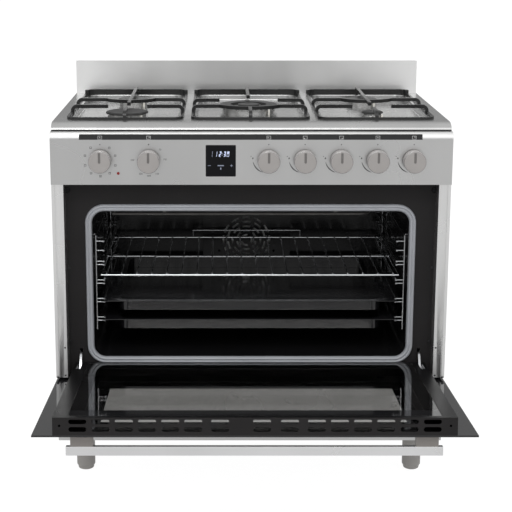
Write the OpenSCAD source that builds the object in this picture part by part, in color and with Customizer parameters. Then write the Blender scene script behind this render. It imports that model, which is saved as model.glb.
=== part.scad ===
// Freestanding gas range with a five-burner hob over one wide electric oven.
// Millimetres, +Z up, +X to the right, -Y towards the cook. The oven door is drawn open.
// The modules place things by their distance behind the control panel's face, and stand()
// moves them all so that the origin is under the middle of the range with its door open.

/* [Overall size] */
// Width of the range
range_w = 900; // [900:1:900]
// From the control panel's face to the rear of the splashback
range_depth = 600; // [595:1:620]
// Height of the hob's top face above the floor
hob_z = 865; // [862:1:868]
// Height of the splashback above the hob
splash_h = 84.5; // [60:0.5:120]
// Thickness of the folded steel sheet
sheet = 1.5; // [1.2:0.1:1.6]

/* [Feet] */
// Height of the body's underside above the floor
body_z = 113; // [105:1:118]
// Diameter of a foot
foot_d = 44.5; // [38:0.5:48]
// Distance of each foot's centre from the middle plane
foot_x = 398; // [390:1:405]

/* [Oven] */
// Width of the oven cavity
cavity_w = 728; // [728:1:730]
// Height of the oven cavity
cavity_h = 348; // [346:1:350]
// Depth of the oven cavity behind the front frame
cavity_depth = 480; // [478:1:481]
// Height of the cavity floor
cavity_z = 311; // [311:1:312]
// Corner radius of the cavity
cavity_r = 28; // [20:1:32]
// Width of the gasket's ring
gasket_w = 16; // [14:0.5:17]

/* [Door] */
// Angle by which the open door is turned down from shut
door_angle = 85.8; // [0:0.1:85.8]
// Height of the hinge pins
hinge_z = 285.2; // [285.2:0.1:285.6]
// Distance of the hinge pins behind the panel's face
hinge_y = 24; // [24:0.1:24.2]
// Height of the shut door's top edge
door_top_z = 724; // [715:1:726]
// Height of the shut glass's bottom edge
glass_bottom_z = 250; // [248:1:256]
// Radius of a hinge pin
pin_r = 4; // [3.5:0.1:4.5]

/* [Controls] */
// Height of the knobs' centres
knob_z = 785; // [780:1:790]
// Diameter of a knob
knob_d = 50.5; // [44:0.5:54]
// Depth of a knob
knob_depth = 23; // [20:0.5:26]
// Distance between the knob's back and the panel
knob_gap = 4.5; // [4:0.1:6]
// How far a gas knob is pushed in before it turns
knob_push = 3.5; // [2.5:0.1:3.8]
// Sideways place of the oven function knob
function_x = -338; // [-345:1:-330]
// Sideways place of the thermostat knob
thermostat_x = -229.5; // [-235:0.5:-225]
// Sideways place of the first gas knob
gas_knob_x = 38.5; // [35:0.5:45]
// Distance from one gas knob to the next
gas_knob_pitch = 81; // [78:0.5:83]

/* [Pan supports] */
// Thickness of a pan support's bars
bar = 8; // [7:0.5:9]
// Thickness of the flat rods round each pan support
edge_rod = 5; // [4:0.5:6]
// Height of the rail at the rear of each pan support
rear_rail_h = 14; // [8:1:16]
// Height of the pan supports' fingers above the hob
support_h = 20; // [18:0.5:24]
// Width of the two outer pan supports
side_support_w = 268; // [260:1:270]
// Width of the middle pan support
mid_support_w = 274; // [265:1:278]
// Front to back length of each pan support
support_len = 474; // [465:1:478]

/* [Hidden] */
$fn = 48;
// slender overlap that makes two drawn solids one
weld = 0.5;
touch = 0.3;
run_fit = 0.05;

half_w = range_w / 2;
side_in = half_w - sheet;
open_top = door_top_z - hinge_z;
door_reach = -(hinge_y - open_top * sin(door_angle) - hinge_y * cos(door_angle));
inlet_tip = range_depth + 12;
mid_y = (inlet_tip - door_reach) / 2;

body_y = 50;
rear_y = range_depth - 8;
panel_z = 729.8;
panel_top = hob_z - 17;
band_z = panel_top - 16;
post_w = 26.5;
post_z = 270;
post_y = 7;
kick_y = 20;
kick_top = 238;
frame_z = 268;

mid_z = cavity_z + cavity_h / 2;
cavity_x = cavity_w / 2;
liner_y = body_y + sheet;
cavity_back = liner_y + cavity_depth;
gasket_y = 41.7;

door_x = 407;
door_back = 41;
door_bottom = 278;
glass_t = 4;
inner_x = 377;
inner_z0 = 290;
inner_z1 = 712;
handle_z = door_top_z - 45;
handle_out = 51;
handle_t = 19;
arm_x = 395;
arm_t = 5;
cheek_t = 4.5;
cheek_gap = 0.9;

rail_x = 341;
post_wire_x = 359;
rail_r = 2;
wire_r = 2.3;
rail_zs = [391, 436, 481, 526];
rail_pair = 8;
upper_rail_zs = [560, 582];
rail_y0 = 75;
rail_y1 = 500;
ladder_z = 372;
ladder_top = 594;

shelf_x = 350;
shelf_y0 = 100;
shelf_y1 = 490;
shelf_r = 3;
shelf_z = rail_zs[2] + rail_pair + rail_r + shelf_r + touch;
cross_r = 1.75;
cross_z = shelf_z + shelf_r + cross_r - weld;
cross_n = 20;
cross_x0 = -337;
cross_pitch = 2 * 337 / (cross_n - 1);

tray_x = 353;
tray_pan_x = 308;
tray_y0 = 70;
tray_y1 = 498;
tray_h = 25;
tray_t = 1.2;

fan_z = 484;
fan_r = 70;
shaft_r = 4;
fan_box = 230;
lamp_x = 290;
lamp_z = 615;
grill_z = 640;
grill_x = 250;
grill_leg_x = 320;
grill_y = 110;
grill_pitch = 62;
wool_x = 387;
wool_t = 22;

spindle_r = 3;
spindle_front = -(knob_gap + 12);
spindle_back = 32;
tap_y0 = 10;
tap_y1 = 40;
switch_y1 = 36;
gas_xs = [for (i = [0:4]) gas_knob_x + i * gas_knob_pitch];

well_depth = 14;
well_inset = 13;
support_y0 = 86;
support_mid_y = support_y0 + support_len / 2;
side_support_x = 288.5;
side_y_front = 197;
side_y_rear = 436;
wok_y = 318;
// each burner's place, cap radius and cup radius, the triple-ring one last
burners = [
    [-290, side_y_front, 50, 42], [-290, side_y_rear, 38, 31],
    [290, side_y_rear, 38, 31], [290, side_y_front, 25, 21], [0, wok_y, 70, 60]
];
cap_z = hob_z + 5;
well_z = hob_z - well_depth;

steel = [0.72, 0.71, 0.69];
dark_steel = [0.45, 0.45, 0.45];
enamel = [0.08, 0.08, 0.09];
black = [0.04, 0.04, 0.04];
chrome = [0.85, 0.86, 0.88];
grey = [0.42, 0.44, 0.47];

// ---------- helpers ----------

module stand() translate([0, -mid_y, 0]) children();

// box between two corners
module block(x0, x1, y0, y1, z0, z1) translate([x0, y0, z0]) cube([x1 - x0, y1 - y0, z1 - z0]);

// the same child on the left and on the right
module both_sides() {
    children();
    mirror([1, 0, 0]) children();
}

module rod_x(x0, x1, y, z, r) translate([x0, y, z]) rotate([0, 90, 0]) cylinder(h = x1 - x0, r = r);
module rod_y(x, y0, y1, z, r) translate([x, y1, z]) rotate([90, 0, 0]) cylinder(h = y1 - y0, r = r);
module rod_z(x, y, z0, z1, r) translate([x, y, z0]) cylinder(h = z1 - z0, r = r);

// rectangle with round corners, centred
module round_rect(w, h, r) {
    square([w - 2 * r, h], center = true);
    square([w, h - 2 * r], center = true);
    for (x = [-1, 1], y = [-1, 1]) translate([x * (w / 2 - r), y * (h / 2 - r)]) circle(r);
}

// flat outline drawn in X and Z, with its thickness from y0 to y1
module upright(y0, y1) translate([0, y1, 0]) rotate([90, 0, 0]) linear_extrude(y1 - y0) children();

// outline drawn in Y and Z, drawn out along X from x0 to x1
module across(x0, x1) translate([x0, 0, 0]) rotate([90, 0, 90]) linear_extrude(x1 - x0) children();

// slot with round ends along X, cut down through a plate that lies between z0 and z1
module slot_x(x, y, z0, z1, length, width) {
    run = length / 2 - width / 2;
    block(x - run, x + run, y - width / 2, y + width / 2, z0, z1);
    for (s = [-1, 1]) rod_z(x + s * run, y, z0, z1, width / 2);
}

// turns the shut door down to where it is drawn
module door_pose() stand() translate([0, hinge_y, hinge_z]) rotate([door_angle, 0, 0])
    translate([0, -hinge_y, -hinge_z]) children();

// ---------- body ----------

module base_pan() color(dark_steel) stand() difference() {
    block(-side_in, side_in, kick_y + sheet, rear_y - sheet, body_z, body_z + 26);
    block(-side_in + sheet, side_in - sheet, kick_y + 2 * sheet, rear_y - 2 * sheet,
        body_z + sheet, body_z + 27);
}

// the notch at the front leaves room for the glass's lower edge as the door swings
module side_panel() across(side_in, half_w) polygon([
    [kick_y + sheet, body_z], [rear_y, body_z], [rear_y, panel_top], [body_y, panel_top],
    [body_y, post_z], [body_y + 22, post_z], [body_y + 22, kick_top], [kick_y + sheet, kick_top]
]);

module left_side_panel() color(steel) stand() mirror([1, 0, 0]) side_panel();
module right_side_panel() color(steel) stand() side_panel();

module back_panel() color(dark_steel) stand() difference() {
    block(-side_in, side_in, rear_y - sheet, rear_y, body_z, panel_top);
    // ventilation slots behind the oven and the fan
    for (row = [0:3], col = [-3:3])
        block(col * 90 - 30, col * 90 + 30, rear_y - 2 * sheet, rear_y + sheet,
            430 + row * 36, 436 + row * 36);
    rod_y(-380, rear_y - 5, rear_y + 5, 800, 12);
}

module front_post() difference() {
    linear_extrude(panel_z - post_z) translate([half_w, 0]) polygon([
        [0, body_y], [0, post_y], [-7, post_y], [-7, post_y + 3], [-9, post_y + 3],
        [-9, post_y + 0.5], [-17, post_y + 3.5], [-post_w, post_y + 3.5], [-post_w, body_y]
    ]);
    // hollow behind the folded face
    block(half_w - post_w + sheet, half_w - sheet, post_y + 5, body_y + 1, -1, range_w);
}

// a post's lower front corner is cut back so that the glass passes it
module placed_post() difference() {
    translate([0, 0, post_z]) front_post();
    across(half_w - post_w - 1, half_w + 1)
        polygon([[post_y - 1, post_z - 1], [post_y + 6, post_z - 1], [post_y - 1, post_z + 7]]);
    for (z = [post_z + 7, post_z + 74]) rod_y(half_w - 21.5, 0, 15, z, 2);
}

module left_front_post() color(steel) stand() mirror([1, 0, 0]) placed_post();
module right_front_post() color(steel) stand() placed_post();

module lower_front_panel() color(steel) stand() union() {
    block(-half_w, half_w, kick_y, kick_y + sheet, body_z, kick_top);
    block(-side_in, side_in, kick_y, body_y + 8, kick_top - sheet, kick_top);
}

module feet() color(grey) stand() for (x = [-foot_x, foot_x], y = [131, 530]) union() {
    rod_z(x, y, 9, body_z, foot_d / 2);
    rod_z(x, y, 0, 9 + weld, foot_d / 2 - 3);
}

// ---------- oven ----------

module oven_liner() color(enamel) stand() difference() {
    translate([0, 0, mid_z]) union() {
        upright(liner_y, cavity_back + sheet) difference() {
            round_rect(cavity_w + 2 * sheet, cavity_h + 2 * sheet, cavity_r + sheet);
            round_rect(cavity_w, cavity_h, cavity_r);
        }
        upright(cavity_back, cavity_back + sheet) round_rect(cavity_w + sheet, cavity_h + sheet, cavity_r);
    }
    rod_y(0, cavity_back - 5, cavity_back + 5, fan_z, shaft_r + 2);
    for (x = [-lamp_x, lamp_x]) rod_y(x, cavity_back - 5, cavity_back + 5, lamp_z, 18);
    for (x = [-grill_x, grill_x]) rod_y(x, cavity_back - 5, cavity_back + 5, grill_z, 5);
}

module oven_insulation() color([0.8, 0.76, 0.6]) stand() difference() {
    block(-wool_x, wool_x, liner_y + 1, cavity_back + wool_t + 2, cavity_z - wool_t,
        cavity_z + cavity_h + wool_t);
    translate([0, 0, mid_z]) upright(liner_y, cavity_back + sheet)
        round_rect(cavity_w + 2 * sheet, cavity_h + 2 * sheet, cavity_r + sheet);
    rod_y(0, cavity_back, cavity_back + 30, fan_z, 62);
    for (x = [-lamp_x, lamp_x]) rod_y(x, cavity_back, cavity_back + 30, lamp_z, 24);
    for (x = [-grill_x, grill_x]) rod_y(x, cavity_back, cavity_back + 30, grill_z, 8);
    // the heating element under the cavity lies in this channel
    block(-345, 345, 80, 460, cavity_z - 14, cavity_z - sheet + weld);
}

module oven_front_frame() color(enamel) stand() difference() {
    block(-side_in, side_in, body_y, body_y + sheet, frame_z, panel_z);
    translate([0, 0, mid_z]) upright(body_y - 1, body_y + 3) round_rect(cavity_w, cavity_h, cavity_r);
    // slots that the hinge arms come through
    both_sides() block(arm_x - arm_t / 2 - 1, arm_x + arm_t / 2 + 1, body_y - 1, body_y + 3, 292, 330);
}

module oven_gasket() color(grey) stand() translate([0, 0, mid_z]) upright(gasket_y, body_y) difference() {
    round_rect(cavity_w + 2 * gasket_w, cavity_h + 2 * gasket_w, 46);
    round_rect(cavity_w, cavity_h, cavity_r);
}

module frame_screws() color(dark_steel) stand() both_sides()
    for (z = [347.5, 525.5, 708]) rod_y(419.4, body_y - 2.5, body_y, z, 3.5);

module fan_cover() color(enamel) stand() difference() {
    translate([0, 0, fan_z]) upright(cavity_back - 26, cavity_back) round_rect(fan_box, fan_box, 20);
    translate([0, 0, fan_z]) upright(cavity_back - 26 + tray_t, cavity_back + 1)
        round_rect(fan_box - 2 * tray_t, fan_box - 2 * tray_t, 20 - tray_t);
    // rings of air holes
    for (ring = [1:6], k = [0:ring * 6 - 1]) let (a = 360 * k / (ring * 6))
        rod_y(ring * 11 * cos(a), cavity_back - 27, cavity_back - 24, fan_z + ring * 11 * sin(a), 3);
}

module fan_wheel() color(chrome) stand() union() {
    rod_y(0, cavity_back - 8, cavity_back - 7, fan_z, fan_r);
    for (a = [0:30:330]) translate([0, 0, fan_z]) rotate([0, a, 0])
        block(28, fan_r - 1, cavity_back - 20, cavity_back - 7.5, -0.6, 0.6);
    rod_y(0, cavity_back - 21, cavity_back - 6, fan_z, 9);
    rod_y(0, cavity_back - 7, cavity_back + 44, fan_z, shaft_r);
}

module fan_motor() color(dark_steel) stand() difference() {
    union() {
        rod_y(0, cavity_back + 12, cavity_back + 50, fan_z, 38);
        block(-46, 46, cavity_back + 10, cavity_back + 13, fan_z - 14, fan_z + 14);
        both_sides() block(42, 46, cavity_back + sheet, cavity_back + 11, fan_z - 14, fan_z + 14);
    }
    rod_y(0, cavity_back, cavity_back + 46, fan_z, shaft_r + run_fit);
}

// flat heating element: runs along X joined by round bends, with two legs to the rear wall
module element(half, y0, pitch, runs, z, r) {
    for (k = [0:runs - 1]) rod_x(-half, half, y0 + k * pitch, z, r);
    for (k = [0:runs - 2]) let (s = k % 2 == 0 ? 1 : -1)
        translate([s * half, y0 + (k + 0.5) * pitch, z]) rotate([0, 0, s * 90 - 180])
            rotate_extrude(angle = 180) translate([pitch / 2, 0]) circle(r);
}

module grill_element() color(dark_steel) stand() union() {
    r = 3.5;
    turn_y = grill_y + 5 * grill_pitch;
    leg_y = cavity_back - 6;
    element(grill_x, grill_y, grill_pitch, 6, grill_z, r);
    // both ends turn back and leave through the rear wall
    translate([-grill_x, turn_y, grill_z]) sphere(r);
    rod_y(-grill_x, turn_y, cavity_back + 12, grill_z, r);
    rod_x(-grill_leg_x, -grill_x, grill_y, grill_z, r);
    translate([-grill_leg_x, grill_y, grill_z]) sphere(r);
    rod_y(-grill_leg_x, grill_y, leg_y, grill_z, r);
    translate([-grill_leg_x, leg_y, grill_z]) sphere(r);
    rod_x(-grill_leg_x, grill_x, leg_y, grill_z, r);
    translate([grill_x, leg_y, grill_z]) sphere(r);
    rod_y(grill_x, leg_y, cavity_back + 12, grill_z, r);
    // hangers up to the ceiling
    for (x = [-200, 200], y = [grill_y, grill_y + 4 * grill_pitch])
        block(x - 4, x + 4, y - 1, y + 1, grill_z, cavity_z + cavity_h);
}

module bottom_element() color(dark_steel) stand()
    element(300, 120, 70, 4, cavity_z - sheet - 4.5, 3.5);

module oven_lamps() color([0.9, 0.9, 0.85]) stand() for (x = [-lamp_x, lamp_x]) union() {
    rod_y(x, cavity_back - 12, cavity_back + 22, lamp_z, 17);
    rod_y(x, cavity_back - 4, cavity_back, lamp_z, 21);
}

module shelf_ladder() union() {
    for (y = [rail_y0, rail_y1]) rod_z(post_wire_x, y, ladder_z - wire_r, ladder_top + wire_r, wire_r);
    for (z = [ladder_z, ladder_top]) rod_y(post_wire_x, rail_y0, rail_y1, z, wire_r - 0.3);
    // a pair of wires carries each shelf or tray
    for (z0 = rail_zs, z = [z0, z0 + rail_pair]) {
        rod_y(rail_x, rail_y0 - rail_r, rail_y1 + rail_r, z, rail_r);
        for (y = [rail_y0, rail_y1]) rod_x(rail_x, post_wire_x, y, z, rail_r - 0.3);
    }
    // single wires above the pairs
    for (z = upper_rail_zs) {
        rod_y(rail_x, rail_y0 - rail_r, rail_y1 + rail_r, z, rail_r);
        for (y = [rail_y0, rail_y1]) rod_x(rail_x, post_wire_x, y, z, rail_r - 0.3);
    }
    // studs into the cavity wall
    for (y = [rail_y0 + 20, rail_y1 - 20]) rod_x(post_wire_x, cavity_x, y, ladder_top, 1.5);
}

module left_shelf_ladder() color(chrome) stand() mirror([1, 0, 0]) shelf_ladder();
module right_shelf_ladder() color(chrome) stand() shelf_ladder();

module wire_shelf() color(chrome) stand() union() {
    for (y = [shelf_y0, shelf_y1]) rod_x(-shelf_x, shelf_x, y, shelf_z, shelf_r);
    both_sides() rod_y(shelf_x, shelf_y0, shelf_y1, shelf_z, shelf_r);
    for (x = [-shelf_x, shelf_x], y = [shelf_y0, shelf_y1]) translate([x, y, shelf_z]) sphere(shelf_r);
    for (k = [0:cross_n - 1]) let (x = cross_x0 + k * cross_pitch) {
        rod_y(x, shelf_y0, shelf_y1, cross_z, cross_r);
        for (y = [shelf_y0, shelf_y1]) translate([x, y, cross_z]) sphere(cross_r);
    }
    // flat bar under the wires
    block(-229, 229, 273, 281, cross_z - cross_r - 2, cross_z - cross_r + weld);
    block(-shelf_x, shelf_x, 276, 278, cross_z - cross_r - 2, cross_z - cross_r + weld);
    // back-stop that keeps dishes off the rear wall
    for (x = [-141, 141]) {
        rod_z(x, shelf_y1, shelf_z, cross_z + 15, cross_r);
        translate([x, shelf_y1, cross_z + 15]) sphere(cross_r);
    }
    rod_x(-141, 141, shelf_y1, cross_z + 15, cross_r);
}

// enamelled tray with a wide flat rim, its rim held between a pair of wires
module tray(rail_z) let (z = rail_z + rail_r + touch, y_mid = (tray_y0 + tray_y1) / 2)
difference() {
    translate([0, y_mid, 0]) union() {
        translate([0, 0, z]) linear_extrude(tray_t) round_rect(2 * tray_x, tray_y1 - tray_y0, 12);
        translate([0, 0, z - tray_h]) linear_extrude(tray_h + tray_t)
            round_rect(2 * tray_pan_x, tray_y1 - tray_y0 - 30, 22);
    }
    translate([0, y_mid, z - tray_h + tray_t]) linear_extrude(tray_h + 5)
        round_rect(2 * (tray_pan_x - tray_t), tray_y1 - tray_y0 - 30 - 2 * tray_t, 22 - tray_t);
}

module upper_tray() color(enamel) stand() tray(rail_zs[1]);
module lower_tray() color(enamel) stand() tray(rail_zs[0]);

// ---------- controls ----------

module control_panel() color(steel) stand() difference() {
    // folded front with a top band that leans back
    across(-half_w, half_w) polygon([
        [0, panel_z], [0, band_z], [2, band_z + 9], [8, panel_top], [body_y, panel_top],
        [body_y, panel_z]
    ]);
    across(-side_in, side_in) polygon([
        [sheet, panel_z + sheet], [sheet, band_z], [2 + sheet, band_z + 8],
        [9, panel_top - sheet], [body_y + 1, panel_top - sheet], [body_y + 1, panel_z + sheet]
    ]);
    for (x = concat([function_x, thermostat_x], gas_xs)) rod_y(x, -1, 5, knob_z, spindle_r + 2);
    block(-99, -38, -1, 5, 753, 816);
    rod_y(-298, -1, 5, 756, 2.6);
}

module clock_display() color(black) stand() union() {
    translate([-68.5, 0, 784.5]) upright(-1.5, 0) round_rect(67, 71, 2);
    block(-98, -39, -weld, 24, 754, 815);
}

module indicator_lamp() color([0.8, 0.1, 0.05]) stand() union() {
    rod_y(-298, -1.6, 0, 756, 3.2);
    rod_y(-298, -weld, 16, 756, 2.5);
}

// round knob with a chamfered front edge, an indicator groove and a blind bore for the spindle
module knob(x) translate([x, 0, knob_z]) difference() {
    rotate([90, 0, 0]) rotate_extrude() polygon([
        [0, knob_gap], [knob_d / 2 - 1, knob_gap], [knob_d / 2, knob_gap + 1],
        [knob_d / 2, knob_gap + knob_depth - 1.5], [knob_d / 2 - 1.5, knob_gap + knob_depth],
        [0, knob_gap + knob_depth]
    ]);
    block(-0.9, 0.9, -knob_gap - knob_depth - 1, -knob_gap - knob_depth + 0.8, 1, knob_d / 2 - 3);
    rod_y(0, spindle_front - knob_push - 1, 0, 0, spindle_r + run_fit);
}

module spindle(x) rod_y(x, spindle_front, spindle_back, knob_z, spindle_r);

module function_knob() color(steel) stand() knob(function_x);
module thermostat_knob() color(steel) stand() knob(thermostat_x);
module function_spindle() color(chrome) stand() spindle(function_x);
module thermostat_spindle() color(chrome) stand() spindle(thermostat_x);
module gas_knob(i) color(steel) stand() knob(gas_xs[i]);
module gas_spindle(i) color(chrome) stand() spindle(gas_xs[i]);

// the function switch and the thermostat, each with a bore for its spindle
module oven_switches() color([0.75, 0.72, 0.65]) stand() for (x = [function_x, thermostat_x]) difference() {
    union() {
        block(x - 22, x + 22, tap_y0, switch_y1, knob_z - 20, knob_z + 20);
        both_sides_of(x) block(x + 24, x + 28, sheet, tap_y0 + 4, knob_z - 6, knob_z + 6);
        block(x - 28, x + 28, tap_y0, tap_y0 + 4, knob_z - 6, knob_z + 6);
    }
    rod_y(x, tap_y0 - 1, spindle_back + 1, knob_z, spindle_r + run_fit);
}

module both_sides_of(x) {
    children();
    translate([2 * x, 0, 0]) mirror([1, 0, 0]) children();
}

// five taps on one pipe, which runs back along the left side to the threaded inlet
module gas_manifold() color([0.75, 0.62, 0.3]) stand() difference() {
    union() {
        rod_x(-410, gas_xs[4] + 20, tap_y1 + 5, knob_z - 22, 7);
        for (x = gas_xs) {
            block(x - 13, x + 13, tap_y0, tap_y1, knob_z - 24, knob_z + 13);
            rod_y(x, tap_y1 - 1, tap_y1 + 14, knob_z, 6);
        }
        translate([-410, tap_y1 + 5, knob_z - 22]) sphere(7);
        rod_y(-410, tap_y1 + 5, rear_y - 22, knob_z - 22, 7);
        translate([-410, rear_y - 22, knob_z - 22]) sphere(7);
        rod_x(-410, -380, rear_y - 22, knob_z - 22, 7);
        translate([-380, rear_y - 22, knob_z - 22]) sphere(7);
        rod_z(-380, rear_y - 22, knob_z - 22, 800, 7);
        // elbow block and the inlet that the supply connects to
        block(-393, -367, rear_y - 35, rear_y - 4, 787, 813);
        rod_y(-380, rear_y - 5, inlet_tip, 800, 10.48);
    }
    for (x = gas_xs) rod_y(x, tap_y0 - 1, spindle_back + 1, knob_z, spindle_r + run_fit);
    rod_y(-380, rear_y - 20, inlet_tip + 1, 800, 7);
}

// ---------- hob ----------

// outline of the hob's front and top, from the round nose back to the splashback
function nose(steps) = [for (k = [0:steps]) let (a = 90 * k / steps)
    [58 - 31 * sin(a), hob_z - 17 + 17 * cos(a)]];

module well(x, w) translate([x, support_mid_y, well_z]) linear_extrude(well_depth + 5)
    round_rect(w - 2 * well_inset, support_len - 2 * well_inset, 26);

module hob_top() color(steel) stand() difference() {
    across(-half_w, half_w)
        polygon(concat(nose(10), [[body_y, panel_top], [rear_y, panel_top], [rear_y, hob_z]]));
    well(-side_support_x, side_support_w);
    well(0, mid_support_w);
    well(side_support_x, side_support_w);
    // hollow underside between and round the wells
    difference() {
        block(-side_in, side_in, 70, rear_y - sheet, panel_top - 1, hob_z - sheet);
        for (b = [[-side_support_x, side_support_w], [0, mid_support_w], [side_support_x, side_support_w]])
            translate([b[0], support_mid_y, panel_top - 2]) linear_extrude(20)
                round_rect(b[1] - 2 * (well_inset - sheet),
                    support_len - 2 * (well_inset - sheet), 26 + sheet);
    }
    for (b = burners) rod_z(b[0], b[1], panel_top - 5, hob_z, b[3] - 8);
}

module splashback() color(steel) stand() difference() {
    union() {
        block(-half_w, half_w, rear_y - 2, rear_y - 2 + sheet, hob_z, hob_z + splash_h);
        block(-half_w, half_w, rear_y - 2, range_depth, hob_z + splash_h - sheet, hob_z + splash_h);
        block(-half_w, half_w, range_depth - sheet, range_depth, hob_z + splash_h - 14, hob_z + splash_h);
    }
    both_sides() for (s = [[15, 42], [65, 138], [170, 240], [370, 409]])
        slot_x((s[0] + s[1]) / 2, rear_y + 3.5, hob_z + splash_h - 3, hob_z + splash_h + 1, s[1] - s[0], 4.5);
}

// side view of a bent finger: a leg, a round bend and a level arm
module finger_outline(length) {
    bend = 14;
    square([bar, support_h - bend]);
    translate([bend, support_h - bar]) square([length - bend, bar]);
    translate([bend, support_h - bend]) intersection() {
        difference() {
            circle(bend);
            circle(bend - bar);
        }
        translate([-bend, 0]) square(bend);
    }
}

// finger that starts at a frame bar's outer edge and points along the given direction
module finger(x, y, turn, length) translate([x, y, 0]) rotate([0, 0, turn]) rotate([90, 0, 0])
    linear_extrude(bar, center = true) finger_outline(length);

// part of a ring that carries a cross bar round the front of a burner
module bow(x, y, span, dip) {
    r = (span * span + dip * dip) / (2 * dip);
    translate([x, y, support_h - bar]) linear_extrude(bar) intersection() {
        translate([0, r - dip]) difference() {
            circle(r + bar / 2, $fn = 96);
            circle(r - bar / 2, $fn = 96);
        }
        translate([-span - bar, -dip - bar]) square([2 * (span + bar), dip + bar]);
    }
}

module support_frame(w) {
    linear_extrude(edge_rod) difference() {
        round_rect(w, support_len, 26);
        round_rect(w - 2 * edge_rod, support_len - 2 * edge_rod, 26 - edge_rod);
    }
    linear_extrude(rear_rail_h) intersection() {
        difference() {
            round_rect(w, support_len, 26);
            round_rect(w - 2 * bar, support_len - 2 * bar, 26 - bar);
        }
        translate([-w / 2, support_len / 2 - 26]) square([w, 26]);
    }
}

// support for the two burners of one side, drawn about its own middle
module side_support() {
    w = side_support_w;
    front = side_y_front - support_mid_y;
    support_frame(w);
    finger(-w / 2, front, 0, 88);
    finger(w / 2, front, 180, 88);
    finger(-w / 2, 322 - support_mid_y, 0, w / 2 - 57);
    finger(w / 2, 322 - support_mid_y, 180, w / 2 - 57);
    bow(0, 322 - support_mid_y, 60, 34);
    finger(0, -support_len / 2, 90, 72);
    finger(0, support_len / 2, -90, 322);
}

module mid_support() {
    w = mid_support_w;
    support_frame(w);
    finger(-w / 2, 200 - support_mid_y, 0, w / 2 - 67);
    finger(w / 2, 200 - support_mid_y, 180, w / 2 - 67);
    bow(0, 200 - support_mid_y, 70, 34);
    finger(-w / 2, 312 - support_mid_y, 0, 66);
    finger(w / 2, 312 - support_mid_y, 180, 66);
    finger(0, -support_len / 2, 90, 84);
    finger(0, support_len / 2, -90, 186);
}

module left_pan_support() color(black) stand()
    translate([-side_support_x, support_mid_y, hob_z]) side_support();
module centre_pan_support() color(black) stand()
    translate([0, support_mid_y, hob_z]) mid_support();
module right_pan_support() color(black) stand()
    translate([side_support_x, support_mid_y, hob_z]) side_support();

// cup and toothed crown of each burner, standing on the well's floor
module burner_cup(b) translate([b[0], b[1], 0]) difference() {
    union() {
        rod_z(0, 0, well_z - 12, well_z + touch, b[3] - 8 - touch);
        rod_z(0, 0, well_z, cap_z - 10, b[3] + 4);
        rod_z(0, 0, cap_z - 11, cap_z - 5, b[3]);
    }
    rod_z(0, 0, well_z - 13, cap_z - 8, b[3] - 12);
    // flame ports
    for (a = [0:15:345]) rotate([0, 0, a]) block(b[3] - 4, b[3] + 1, -0.9, 0.9, cap_z - 9, cap_z);
}

module burner_cups() color(chrome) stand() for (b = burners) burner_cup(b);

module burner_caps() color(black) stand() {
    for (b = burners) if (b[0] != 0) translate([b[0], b[1], 0]) union() {
        rod_z(0, 0, cap_z - 5, cap_z - 1.5, b[2]);
        rod_z(0, 0, cap_z - 2, cap_z, b[2] - 3);
    }
    // the middle burner has an outer ring and a small cap inside it
    translate([0, wok_y, cap_z - 5]) difference() {
        cylinder(h = 6, r = 70);
        translate([0, 0, -1]) cylinder(h = 8, r = 44);
    }
    rod_z(0, wok_y, cap_z - 5, cap_z + 1, 26);
}

module igniters() color([0.93, 0.92, 0.88]) stand()
    for (b = burners) rod_z(b[0] + (b[3] + 9) * 0.7, b[1] - (b[3] + 9) * 0.7, well_z, cap_z - 6, 2.5);

// ---------- door, drawn shut and then turned down ----------

// the vent slots stand in two rows, and one pair of slots is beside the middle
vent_xs = concat([14], [for (s = [-1, 1], x = [70, 124, 170, 216.5, 263, 310, 356.5]) s * x]);

module door_frame() color(black) door_pose() difference() {
    block(-door_x, door_x, glass_t, door_back, door_bottom, door_top_z);
    // hollow between the panes
    block(-door_x + 2, door_x - 2, glass_t + 2, door_back - 2 - glass_t, door_bottom + 2, door_top_z - 2);
    block(-347, 347, glass_t - 1, glass_t + 5, 330, 690);
    block(-347, 347, door_back - 8, door_back + 1, 330, 690);
    // recess that the inner pane lies in
    block(-inner_x - touch, inner_x + touch, door_back - glass_t, door_back + 1,
        inner_z0 - touch, inner_z1 + touch);
    for (x = vent_xs, y = [door_back - 8.5, door_back - 24.5])
        slot_x(x, y, door_top_z - 5, door_top_z + 1, 36, 10);
    for (x = [-393, 393]) rod_z(x, door_back - 17, door_top_z - 5, door_top_z + 1, 2.5);
    // notches for the fixed hinge arms
    both_sides() block(arm_x - 4.5, arm_x + 4.5, 12, door_back + 1, door_bottom - 1, 342);
}

module door_outer_glass() color([0.1, 0.1, 0.11, 0.8]) door_pose()
    block(-half_w, half_w, 0, glass_t, glass_bottom_z, door_top_z);

module door_inner_glass() color([0.05, 0.05, 0.06, 0.7]) door_pose()
    block(-inner_x, inner_x, door_back - glass_t, door_back, inner_z0, inner_z1);

module door_handle() color(steel) door_pose() difference() {
    block(-385.5, 385.5, -handle_out, -handle_out + handle_t, handle_z - 6, handle_z + 6);
    block(-382, 382, -handle_out + 2, -handle_out + handle_t - 2, handle_z - 7, handle_z + 4);
}

module handle_posts() color(grey) door_pose() both_sides() union() {
    block(329, 376, -handle_out + handle_t, 0, handle_z - 6, handle_z + 6);
    // foot that the screw through the glass pulls against
    block(327, 378, -3, 0, handle_z - 8, handle_z + 8);
}

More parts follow.
